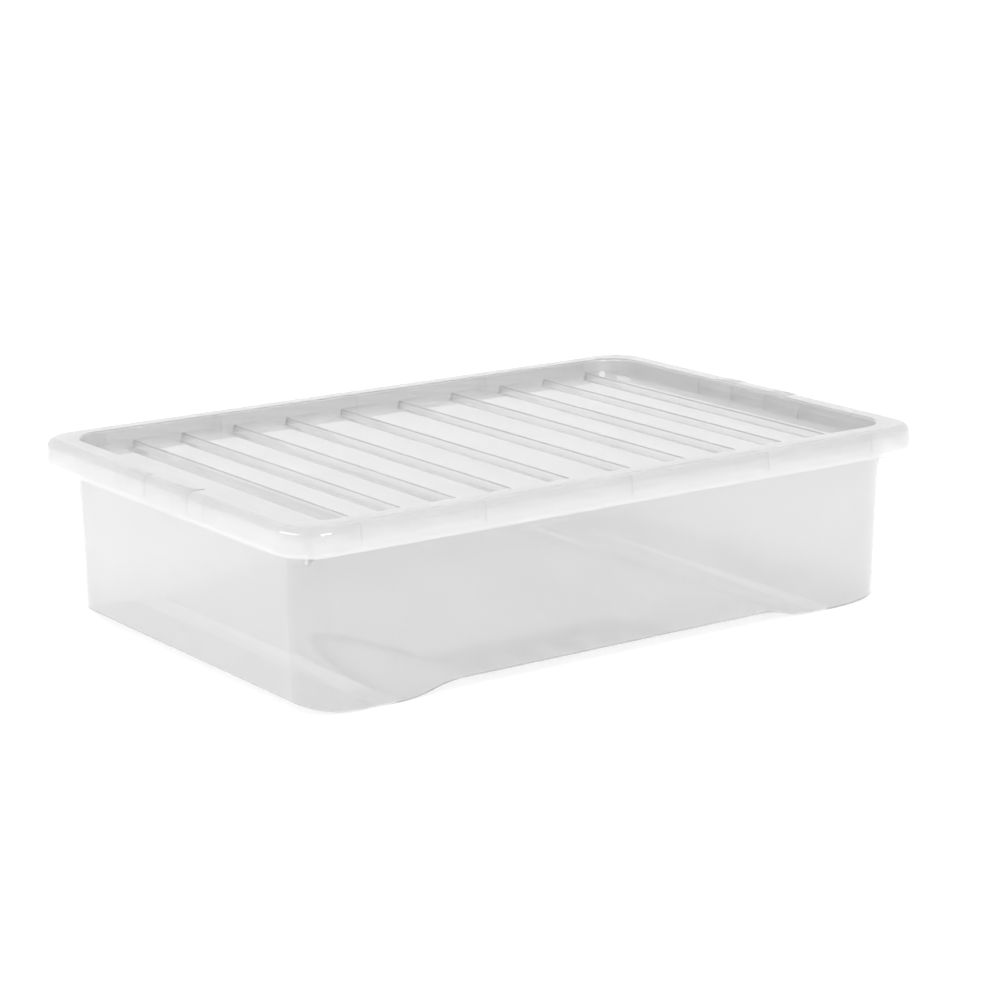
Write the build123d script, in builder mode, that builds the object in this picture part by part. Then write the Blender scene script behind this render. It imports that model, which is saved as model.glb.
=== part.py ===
import os
from math import atan, cos, radians, sin, tan

from build123d import *

# Under-bed storage box: an injection-moulded tub with a rolled rim, and a lid that clips over it.
# Millimetres. X runs along the length, Y along the depth and Z up.
# The origin is on the ground, under the middle of the box.

# Overall size, with the lid on
length = 710
depth = 475
height = 175

# Lid: a flat curb, a flared skirt outside it and a recessed, fluted panel inside it
lid_wall = 1.6
lid_corner = 36
lid_shoulder = 8.4
skirt_foot = 147.7
skirt_flare = 4
skirt_edge = 0.6
recess_length = 658
recess_depth = 426
recess_corner = 32
recess_draft = 4
recess_edge = 2.5

# Flutes of the lid's panel: raised strips along Y, narrower towards the short ends
strip_top = 161
groove_depth = 6.5
strip_side_run = 2.2
strip_edge = 0.7
strip_centres = (-297, -245, -190, -130, -67, 0, 67, 130, 190, 245, 297)
strip_widths = (21, 29, 32, 35, 40, 45, 40, 35, 32, 29, 21)

# Short ends of the lid: a low panel in the middle, with two arched pads that rise from it in steps.
# They wrap over the shoulder and fade out down the skirt.
end_panel_width = 110
end_panel_rise = 0.4
end_panel_reach = 21
end_panel_corner = 3
pad_centre = 36.5
pad_width = 33
pad_reach = 19
pad_corner = 14
pad_rises = (0.6, 0.8, 1)
pad_step = 3
patch_foot = 150
patch_steepening = 1.35

# Retaining beads inside the foot of the skirt
bead_rise = 0.7
bead_height = 2
bead_length = 60
bead_spacing = 320

# Tub: drafted walls, and a floor that swells down to two rounded feet across the depth
tub_length = 657
tub_depth = 429
tub_corner = 32
tub_wall = 1.8
tub_draft = 1.7
tub_edge = 2.4
foot_radius = 257
foot_outer = 262
foot_inner = 238
foot_sweep = 22
arch_rise = 10
arch_run = 70

# Tub rim: rolled outwards and down, inside the lid's skirt
seat_gap = 0.2
rim_inset = 3.2
rim_corner = 33
rim_foot = 151.5
rim_shoulder = 5.6

# Ribs under the rim, and a deeper gusset across each corner
rib_thickness = 1.6
rib_foot = 154
long_side_ribs = (-288, -160, 0, 160, 288)
short_side_ribs = (-78, -26, 26, 78)
gusset_thickness = 2.6
gusset_foot = 139
gusset_reach = 21
gusset_foot_reach = 17
gusset_chamfer = 4

# Distances worked out from the sizes above
curb_top = height - max(pad_rises)
rim_top = curb_top - lid_wall - seat_gap
draft_growth = rim_top * tan(radians(tub_draft))
groove_floor = strip_top - groove_depth
panel_underside = groove_floor - lid_wall
recess_taper = (curb_top - panel_underside) * tan(radians(recess_draft))


def cap(inset, corner, foot, top, shoulder, flare=skirt_flare):
    """A solid upside-down tray, with flared sides and a rounded shoulder, inside the box's outline."""
    with BuildPart() as tray:
        with BuildSketch(Plane.XY.offset(foot)):
            RectangleRounded(length - 2 * inset, depth - 2 * inset, corner)
        extrude(amount=top - foot, taper=flare)
        fillet(tray.edges().group_by(Axis.Z)[-1], radius=shoulder)
    return tray.part


def end_patches(centres, reach, width, corner, rise):
    """A patch at each of the given places along both short ends, proud of the curb and the shoulder."""
    with BuildPart() as patches:
        flare = skirt_flare - rise * patch_steepening
        add(cap(0, lid_corner, skirt_foot, curb_top + rise, lid_shoulder + rise, flare))
        with BuildSketch(Plane.XY.offset(patch_foot)):
            with Locations([(side * length / 2, centre) for centre in centres for side in (-1, 1)]):
                RectangleRounded(2 * reach, width, corner)
        extrude(amount=height, mode=Mode.INTERSECT)
    return patches.part


def tub_outline(growth):
    """The tub's base in plan, grown outwards."""
    return RectangleRounded(tub_length + 2 * growth, tub_depth + 2 * growth, tub_corner + growth)


def tub_form(lift):
    """The tub as one solid: its outside, or with a lift, the space a wall's thickness inside it."""
    with BuildPart() as form:
        with BuildSketch(Plane.XY):
            tub_outline(-lift)
        extrude(amount=rim_top, taper=-tub_draft)
        # From the front: a foot that curves up to the short end, then an S-curve up to the arch
        with BuildSketch(Plane.XZ):
            with BuildLine():
                slope = 2 * atan(arch_rise / arch_run)
                bend = (foot_inner - arch_run / 2 + lift * sin(slope), arch_rise / 2 + lift * cos(slope))
                arch_end = (foot_inner - arch_run, arch_rise + lift)
                foot = CenterArc((foot_outer, foot_radius), foot_radius - lift, -90, foot_sweep)
                sole = Line(foot @ 0, (foot_inner, lift))
                rise = TangentArc(sole @ 1, bend, tangent=(-1, 0))
                TangentArc(bend, arch_end, tangent=rise % 1)
                Polyline(arch_end, (0, arch_rise + lift), (0, rim_top), ((foot @ 1).X, rim_top), foot @ 1)
            make_face()
            mirror(about=Plane.YZ)
        extrude(amount=depth, both=True, mode=Mode.INTERSECT)
        wall_foot = form.edges().filter_by(lambda edge: edge.center().Z < arch_rise + lift + 1)
        across = wall_foot.filter_by(Axis.Y).filter_by(lambda edge: abs(edge.center().X) < foot_outer + 1)
        fillet(wall_foot - across, radius=tub_edge - lift)
    return form.part


# The tub's rolled rim, open over the mouth as far as the middle of the wall
with BuildPart() as rim:
    add(cap(rim_inset, rim_corner, rim_foot, rim_top, rim_shoulder))
    offset(amount=-tub_wall, openings=rim.faces().sort_by(Axis.Z)[0])
    with BuildSketch(Plane.XY.offset(rim_foot)):
        tub_outline(draft_growth - tub_wall / 2)
    extrude(amount=height, mode=Mode.SUBTRACT)

# Upright ribs from the middle of the wall to the middle of the rim's lip
with BuildPart() as ribs:
    with BuildSketch(Plane.XY.offset(rib_foot)):
        wall_line = tub_depth / 2 + draft_growth - tub_wall / 2
        with Locations([(x, side * (wall_line + depth / 2) / 2) for x in long_side_ribs for side in (-1, 1)]):
            Rectangle(rib_thickness, depth / 2 - wall_line)
        wall_line = tub_length / 2 + draft_growth - tub_wall / 2
        with Locations([(side * (wall_line + length / 2) / 2, y) for y in short_side_ribs for side in (-1, 1)]):
            Rectangle(length / 2 - wall_line, rib_thickness)
    extrude(amount=height)
    lip_middle = tub_wall / 2
    add(cap(rim_inset + lip_middle, rim_corner - lip_middle, skirt_foot, rim_top - lip_middle,
            rim_shoulder - lip_middle), mode=Mode.INTERSECT)

# A gusset across each corner, along the diagonal of the wall's rounded corner
with BuildPart() as gussets:
    corner_x = tub_length / 2 - tub_corner
    corner_y = tub_depth / 2 - tub_corner
    wall_face = tub_corner + gusset_foot * tan(radians(tub_draft))
    gusset_top = rim_top - tub_wall / 2
    for side_x, side_y in ((-1, -1), (1, -1), (1, 1), (-1, 1)):
        outwards = Vector(side_x, side_y, 0).normalized()
        across = outwards.cross(Vector(0, 0, 1))
        with BuildSketch(Plane((side_x * corner_x, side_y * corner_y, 0), x_dir=outwards, z_dir=across)):
            with BuildLine():
                Polyline(
                    (wall_face - tub_wall / 2, gusset_top),
                    (wall_face + gusset_reach - gusset_chamfer, gusset_top),
                    (wall_face + gusset_reach, gusset_top - 2 * gusset_chamfer),
                    (wall_face + gusset_reach, rim_foot),
                    (wall_face + gusset_foot_reach, gusset_foot),
                    (wall_face - tub_wall / 2, gusset_foot),
                    close=True,
                )
            make_face()
        extrude(amount=gusset_thickness / 2, both=True)

with BuildPart() as tub:
    add(tub_form(0))
    add(tub_form(tub_wall), mode=Mode.SUBTRACT)
    add(rim.part)
    add(ribs.part)
    add(gussets.part)

# The fluted panel: a sheet of even thickness, trimmed to the middle of the recess's wall
with BuildPart() as panel:
    with BuildSketch(Plane.XZ) as flutes:
        with BuildLine():
            profile = [(-length / 2, groove_floor)]
            for centre, width in zip(strip_centres, strip_widths):
                left = centre - width / 2
                right = centre + width / 2
                profile += [(left - strip_side_run, groove_floor), (left, strip_top)]
                profile += [(right, strip_top), (right + strip_side_run, groove_floor)]
            profile += [(length / 2, groove_floor)]
            Polyline(*profile)
            offset(amount=lid_wall, side=Side.RIGHT, kind=Kind.INTERSECTION)
        make_face()
        bends = flutes.vertices().filter_by(lambda bend: abs(bend.X) < recess_length / 2)
        fillet(bends, radius=strip_edge)
    extrude(amount=depth / 2, both=True)
    with BuildSketch(Plane.XY.offset(panel_underside)):
        narrower = 2 * recess_taper - lid_wall
        RectangleRounded(recess_length - narrower, recess_depth - narrower, recess_corner - narrower / 2)
    extrude(amount=height, mode=Mode.INTERSECT)

# Beads along the foot of the skirt's inner face: two on each long side, one on each short side
with BuildPart() as beads:
    with BuildSketch(Plane.XY.offset(skirt_foot + bead_height / 2)):
        bead_width = bead_rise + lid_wall / 2
        inner_face = depth / 2 - lid_wall - bead_rise + bead_width / 2
        with GridLocations(bead_spacing, 2 * inner_face, 2, 2):
            Rectangle(bead_length, bead_width)
        inner_face += (length - depth) / 2
        with GridLocations(2 * inner_face, 0, 2, 1):
            Rectangle(bead_width, bead_length)
    extrude(amount=bead_height)

# The hollow under the curb, between the skirt and the wall of the recess
with BuildPart() as hollow:
    add(cap(lid_wall, lid_corner - lid_wall, skirt_foot, curb_top - lid_wall, lid_shoulder - lid_wall))
    with BuildSketch(Plane.XY.offset(curb_top)):
        RectangleRounded(recess_length + 2 * lid_wall, recess_depth + 2 * lid_wall,
                         recess_corner + lid_wall)
    extrude(amount=panel_underside - curb_top, taper=recess_draft, mode=Mode.SUBTRACT)

with BuildPart() as lid:
    add(cap(0, lid_corner, skirt_foot, curb_top, lid_shoulder))
    fillet(lid.edges().group_by(Axis.Z)[0], radius=skirt_edge)
    add(end_patches([0], end_panel_reach, end_panel_width, end_panel_corner, end_panel_rise))
    for step, rise in enumerate(pad_rises):
        inset = step * pad_step
        add(end_patches([-pad_centre, pad_centre], pad_reach - inset, pad_width - 2 * inset,
                        pad_corner - inset, rise))
    with BuildSketch(Plane.XY.offset(curb_top)):
        RectangleRounded(recess_length, recess_depth, recess_corner)
    extrude(amount=skirt_foot - curb_top, taper=recess_draft, mode=Mode.SUBTRACT)
    curb = lid.faces().filter_by(Axis.Z).filter_by_position(Axis.Z, curb_top - lid_wall, height)
    fillet(curb.sort_by(SortBy.AREA)[-1].inner_wires()[0].edges(), radius=recess_edge)
    add(hollow.part, mode=Mode.SUBTRACT)
    add(panel.part)
    add(beads.part)

tub.part.label = "tub"
lid.part.label = "lid"
os.makedirs("parts", exist_ok=True)
export_step(tub.part, "parts/tub.step")
export_step(lid.part, "parts/lid.step")
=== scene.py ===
import math

import bpy
from mathutils import Matrix, Vector


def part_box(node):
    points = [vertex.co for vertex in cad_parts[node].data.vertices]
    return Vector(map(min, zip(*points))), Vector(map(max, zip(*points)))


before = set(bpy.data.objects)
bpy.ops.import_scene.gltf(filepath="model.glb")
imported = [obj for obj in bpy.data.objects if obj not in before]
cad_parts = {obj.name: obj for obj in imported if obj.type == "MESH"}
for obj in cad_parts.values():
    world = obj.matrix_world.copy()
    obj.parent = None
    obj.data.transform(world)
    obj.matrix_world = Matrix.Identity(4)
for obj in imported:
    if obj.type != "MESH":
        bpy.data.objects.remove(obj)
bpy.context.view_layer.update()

# Lengths are in metres, angles in degrees and lamps in watts.

# The camera, at the angle that the box is usually shown from
CAMERA_PLACE = (-1.5784, -2.2417, 0.7690)
CAMERA_TURN = -35.51
CAMERA_TILT = 13.63
CAMERA_ROLL = -0.37
CAMERA_LENS = 105.8
CAMERA_SENSOR = 36

# The studio: white all round, with a pale floor that glows enough to look white under the box
WORLD_LIGHT = 1.0
FLOOR_HALF = 12
FLOOR_GREY = 0.35
FLOOR_ROUGHNESS = 0.6
FLOOR_GLOW = 0.75

# Noise in the materials: how rough it is, and the part of its range that is used
NOISE_DETAIL = 2.0
NOISE_ROUGHNESS = 0.55
NOISE_ENDS = (0.3, 0.7)

# What both mouldings share: the gloss of clear polypropylene, a slow ripple and a fine grain
PLASTIC_IOR = 1.49
GLOSS_IOR = 1.65
GLOSS_ROUGHNESS = 0.04
RIPPLE_SCALE = 14
RIPPLE_HEIGHT = 0.00015
GRAIN_SCALE = 500
GRAIN_HEIGHT = 0.000006

# The tub: how clear it is, its haze, and the painted light that makes its rim, ribs and gussets paler
TUB_CLARITY = 0.86
TUB_HAZE_SCALE = 9
TUB_ROUGHNESS = (0.03, 0.06)
TUB_GREY = 0.84
TUB_HAZE_TINT = 0.015
# Painted light: a paler tint on the rim, ribs and gussets and on the tub under the lid
RIM_PAINTED_LIGHT_GREY = 0.96
RIM_FOOT = (0.149, 0.152)

# The middle of the bend at each corner of the tub's wall, with Z out of reach above the box,
# and how far from it the wall's outer face lies
BEND_CENTRE = (0.2965, 0.1825, 1)
BEND_REACH = (0.0375, 0.0385)

# The lid: milkier, with painted shade on the recessed panel inside the curb and, darker, in its grooves,
# which are also polished
LID_CLARITY = 0.8
LID_HAZE_SCALE = 11
LID_ROUGHNESS = (0.18, 0.25)
LID_GREY = 0.975
LID_HAZE_TINT = 0.004
CURB_WIDTH = 0.027
GROOVE_DEPTH = 0.0205
GROOVE_TOP = (0.001, 0.005)
# Painted shade: the grooves between the strips are tinted darker
GROOVE_SHADE = 0.06
GROOVE_POLISH = 0.08
PANEL_TOP = (0.0067, 0.008)
# Painted shade: the recessed panel inside the curb is tinted darker
PANEL_SHADE = 0.02

# How often light may bounce: enough to cross every wall of the closed box
ALL_BOUNCES = 64
GLOSSY_BOUNCES = 48
DIFFUSE_BOUNCES = 16


def make_camera():
    turn, tilt, roll = (math.radians(a) for a in (CAMERA_TURN, CAMERA_TILT, CAMERA_ROLL))
    back = Vector((math.sin(turn) * math.cos(tilt), -math.cos(turn) * math.cos(tilt), math.sin(tilt)))
    right = Vector((math.cos(turn), math.sin(turn), 0))
    up = back.cross(right)
    right_rolled = right * math.cos(roll) + up * math.sin(roll)
    up_rolled = up * math.cos(roll) - right * math.sin(roll)
    data = bpy.data.cameras.new("camera")
    data.lens = CAMERA_LENS
    data.sensor_width = CAMERA_SENSOR
    camera = bpy.data.objects.new("camera", data)
    axes = Matrix((right_rolled, up_rolled, back)).transposed()
    camera.matrix_world = Matrix.Translation(CAMERA_PLACE) @ axes.to_4x4()
    bpy.context.scene.collection.objects.link(camera)
    bpy.context.scene.camera = camera


def make_floor():
    """A plain white floor, large enough to fill the view."""
    mesh = bpy.data.meshes.new("floor")
    corners = [(x * FLOOR_HALF, y * FLOOR_HALF, 0) for x, y in ((-1, -1), (1, -1), (1, 1), (-1, 1))]
    mesh.from_pydata(corners, [], [(0, 1, 2, 3)])
    floor = bpy.data.objects.new("floor", mesh)
    bpy.context.scene.collection.objects.link(floor)
    material = bpy.data.materials.new("floor_white")
    material.use_nodes = True
    shader = material.node_tree.nodes["Principled BSDF"]
    shader.inputs["Base Color"].default_value = (FLOOR_GREY, FLOOR_GREY, FLOOR_GREY, 1)
    shader.inputs["Roughness"].default_value = FLOOR_ROUGHNESS
    shader.inputs["Emission Color"].default_value = (1, 1, 1, 1)
    shader.inputs["Emission Strength"].default_value = FLOOR_GLOW
    mesh.materials.append(material)


def make_light(name, place, aim, width, depth, power, reflected=True):
    """A soft rectangular lamp that faces a point. It is seen only by its light and its reflection."""
    data = bpy.data.lights.new(name, "AREA")
    data.shape = "RECTANGLE"
    data.size = width
    data.size_y = depth
    data.energy = power
    lamp = bpy.data.objects.new(name, data)
    lamp.location = place
    lamp.visible_camera = False
    lamp.visible_transmission = False
    lamp.visible_glossy = reflected
    lamp.rotation_mode = "QUATERNION"
    lamp.rotation_quaternion = (Vector(aim) - Vector(place)).to_track_quat("-Z", "Y")
    bpy.context.scene.collection.objects.link(lamp)


def make_studio():
    """White surroundings, and three lights. The low ones glint on the lid's shoulder at its corners."""
    world = bpy.data.worlds.new("studio")
    world.use_nodes = True
    background = world.node_tree.nodes["Background"]
    background.inputs["Color"].default_value = (1, 1, 1, 1)
    background.inputs["Strength"].default_value = WORLD_LIGHT
    bpy.context.scene.world = world
    make_light("left_light", place=(-2.45, 0.05, 1.1), aim=(0, 0, 0.12), width=2.9, depth=0.55, power=17)
    make_light("front_light", place=(0.31, -2.43, 0.85), aim=(0.1, 0, 0.12), width=1.2, depth=0.5, power=11)
    make_light("top_light", place=(-0.5, -1.0, 2.6), aim=(0, 0, 0.12), width=2.6, depth=2.6, power=50,
               reflected=False)


class Nodes:
    """Shorthand for adding and joining a material's nodes."""

    def __init__(self, name):
        self.material = bpy.data.materials.new(name)
        self.material.use_nodes = True
        self.tree = self.material.node_tree
        self.shader = self.tree.nodes["Principled BSDF"]
        self.place = self.add("TexCoord").outputs["Object"]

    def add(self, kind, inputs=None, **settings):
        node = self.tree.nodes.new("ShaderNode" + kind)
        for setting, value in settings.items():
            setattr(node, setting, value)
        for socket, value in (inputs or {}).items():
            if isinstance(value, bpy.types.NodeSocket):
                self.tree.links.new(value, node.inputs[socket])
            else:
                node.inputs[socket].default_value = value
        return node

    def noise(self, scale):
        """Even noise in metres of the object, so that it is the same on every face."""
        inputs = {"Vector": self.place, "Scale": scale, "Detail": NOISE_DETAIL, "Roughness": NOISE_ROUGHNESS}
        return self.add("TexNoise", inputs).outputs["Fac"]

    def spread(self, value, low, high, ends=NOISE_ENDS):
        """Softly from low to high, as the value goes from one end to the other."""
        inputs = {"Value": value, "From Min": ends[0], "From Max": ends[1], "To Min": low, "To Max": high}
        return self.add("MapRange", inputs, interpolation_type="SMOOTHSTEP").outputs["Result"]

    def math(self, operation, first, second=0.0):
        return self.add("Math", {0: first, 1: second}, operation=operation).outputs["Value"]

    def vector(self, operation, first, second=(0, 0, 0), result="Vector"):
        return self.add("VectorMath", {0: first, 1: second}, operation=operation).outputs[result]

    def axis(self, name):
        return self.add("SeparateXYZ", {"Vector": self.place}).outputs[name]

    def bump(self, height, distance, normal=None):
        inputs = {"Height": height, "Distance": distance, "Strength": 1.0}
        if normal:
            inputs["Normal"] = normal
        return self.add("Bump", inputs).outputs["Normal"]

    def drive(self, socket, value):
        self.tree.links.new(value, self.shader.inputs[socket])

    def drive_grey(self, value):
        grey = self.add("CombineColor", {"Red": value, "Green": value, "Blue": value})
        self.drive("Base Color", grey.outputs["Color"])


def moulded(name, clarity):
    """Clear polypropylene as it leaves the mould, with its ripple and its grain."""
    nodes = Nodes(name)
    nodes.shader.inputs["IOR"].default_value = PLASTIC_IOR
    nodes.shader.inputs["Transmission Weight"].default_value = clarity
    nodes.shader.inputs["Coat Weight"].default_value = 1.0
    nodes.shader.inputs["Coat Roughness"].default_value = GLOSS_ROUGHNESS
    nodes.shader.inputs["Coat IOR"].default_value = GLOSS_IOR
    ripple = nodes.bump(nodes.noise(RIPPLE_SCALE), RIPPLE_HEIGHT)
    nodes.drive("Normal", nodes.bump(nodes.noise(GRAIN_SCALE), GRAIN_HEIGHT, ripple))
    return nodes


def tub_plastic():
    """The tub: clear, hazier where it cooled unevenly, with painted light making it paler outside its walls
    and under the lid.
    """
    nodes = moulded("tub_plastic", TUB_CLARITY)
    haze = nodes.noise(TUB_HAZE_SCALE)
    nodes.drive("Roughness", nodes.spread(haze, *TUB_ROUGHNESS))
    past_bend = nodes.vector("SUBTRACT", nodes.vector("ABSOLUTE", nodes.place), BEND_CENTRE)
    reach = nodes.vector("LENGTH", nodes.vector("MAXIMUM", past_bend), result="Value")
    outside = nodes.spread(reach, 0, 1, BEND_REACH)
    under_lid = nodes.spread(nodes.axis("Z"), 0, 1, RIM_FOOT)
    # Painted light: the tub is tinted paler outside its walls and under the lid
    rim_painted_light = nodes.math("MULTIPLY", nodes.math("MAXIMUM", outside, under_lid), RIM_PAINTED_LIGHT_GREY - TUB_GREY)
    wall = nodes.spread(haze, TUB_GREY - TUB_HAZE_TINT, TUB_GREY)
    nodes.drive_grey(nodes.math("ADD", wall, rim_painted_light))
    return nodes.material


def lid_plastic():
    """The lid: milkier, with painted shade on its panel and, darker, in the grooves between its strips,
    which are polished.
    """
    nodes = moulded("lid_plastic", LID_CLARITY)
    top_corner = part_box("lid")[1]
    in_length = nodes.math("LESS_THAN", nodes.math("ABSOLUTE", nodes.axis("X")), top_corner[0] - CURB_WIDTH)
    in_depth = nodes.math("LESS_THAN", nodes.math("ABSOLUTE", nodes.axis("Y")), top_corner[1] - CURB_WIDTH)
    inside = nodes.math("MULTIPLY", in_length, in_depth)
    above_groove = nodes.math("SUBTRACT", nodes.axis("Z"), top_corner[2] - GROOVE_DEPTH)
    groove = nodes.math("MULTIPLY", inside, nodes.spread(above_groove, 1, 0, GROOVE_TOP))
    # Painted shade on the recessed panel inside the curb
    shaded_panel = nodes.math("MULTIPLY", inside, nodes.spread(above_groove, 1, 0, PANEL_TOP))
    haze = nodes.noise(LID_HAZE_SCALE)
    milk_and_shade = nodes.spread(haze, LID_GREY - LID_HAZE_TINT, LID_GREY + LID_HAZE_TINT)
    # Painted shade: darker on the recessed panel and, more, in the grooves
    milk_and_shade = nodes.math("SUBTRACT", milk_and_shade, nodes.math("MULTIPLY", shaded_panel, PANEL_SHADE))
    nodes.drive_grey(nodes.math("SUBTRACT", milk_and_shade, nodes.math("MULTIPLY", groove, GROOVE_SHADE)))
    frost = nodes.spread(haze, *LID_ROUGHNESS)
    nodes.drive("Roughness", nodes.math("SUBTRACT", frost, nodes.math("MULTIPLY", groove, GROOVE_POLISH)))
    return nodes.material


def dress_box():
    for node, material in (("tub", tub_plastic()), ("lid", lid_plastic())):
        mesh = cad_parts[node].data
        mesh.materials.clear()
        mesh.materials.append(material)


def trace_deep_plastic():
    """Let light cross the many walls of the closed box before it is given up."""
    paths = bpy.context.scene.cycles
    paths.max_bounces = ALL_BOUNCES
    paths.transmission_bounces = ALL_BOUNCES
    paths.glossy_bounces = GLOSSY_BOUNCES
    paths.diffuse_bounces = DIFFUSE_BOUNCES


make_camera()
make_floor()
make_studio()
dress_box()
bpy.context.scene.view_settings.view_transform = "Standard"
trace_deep_plastic()
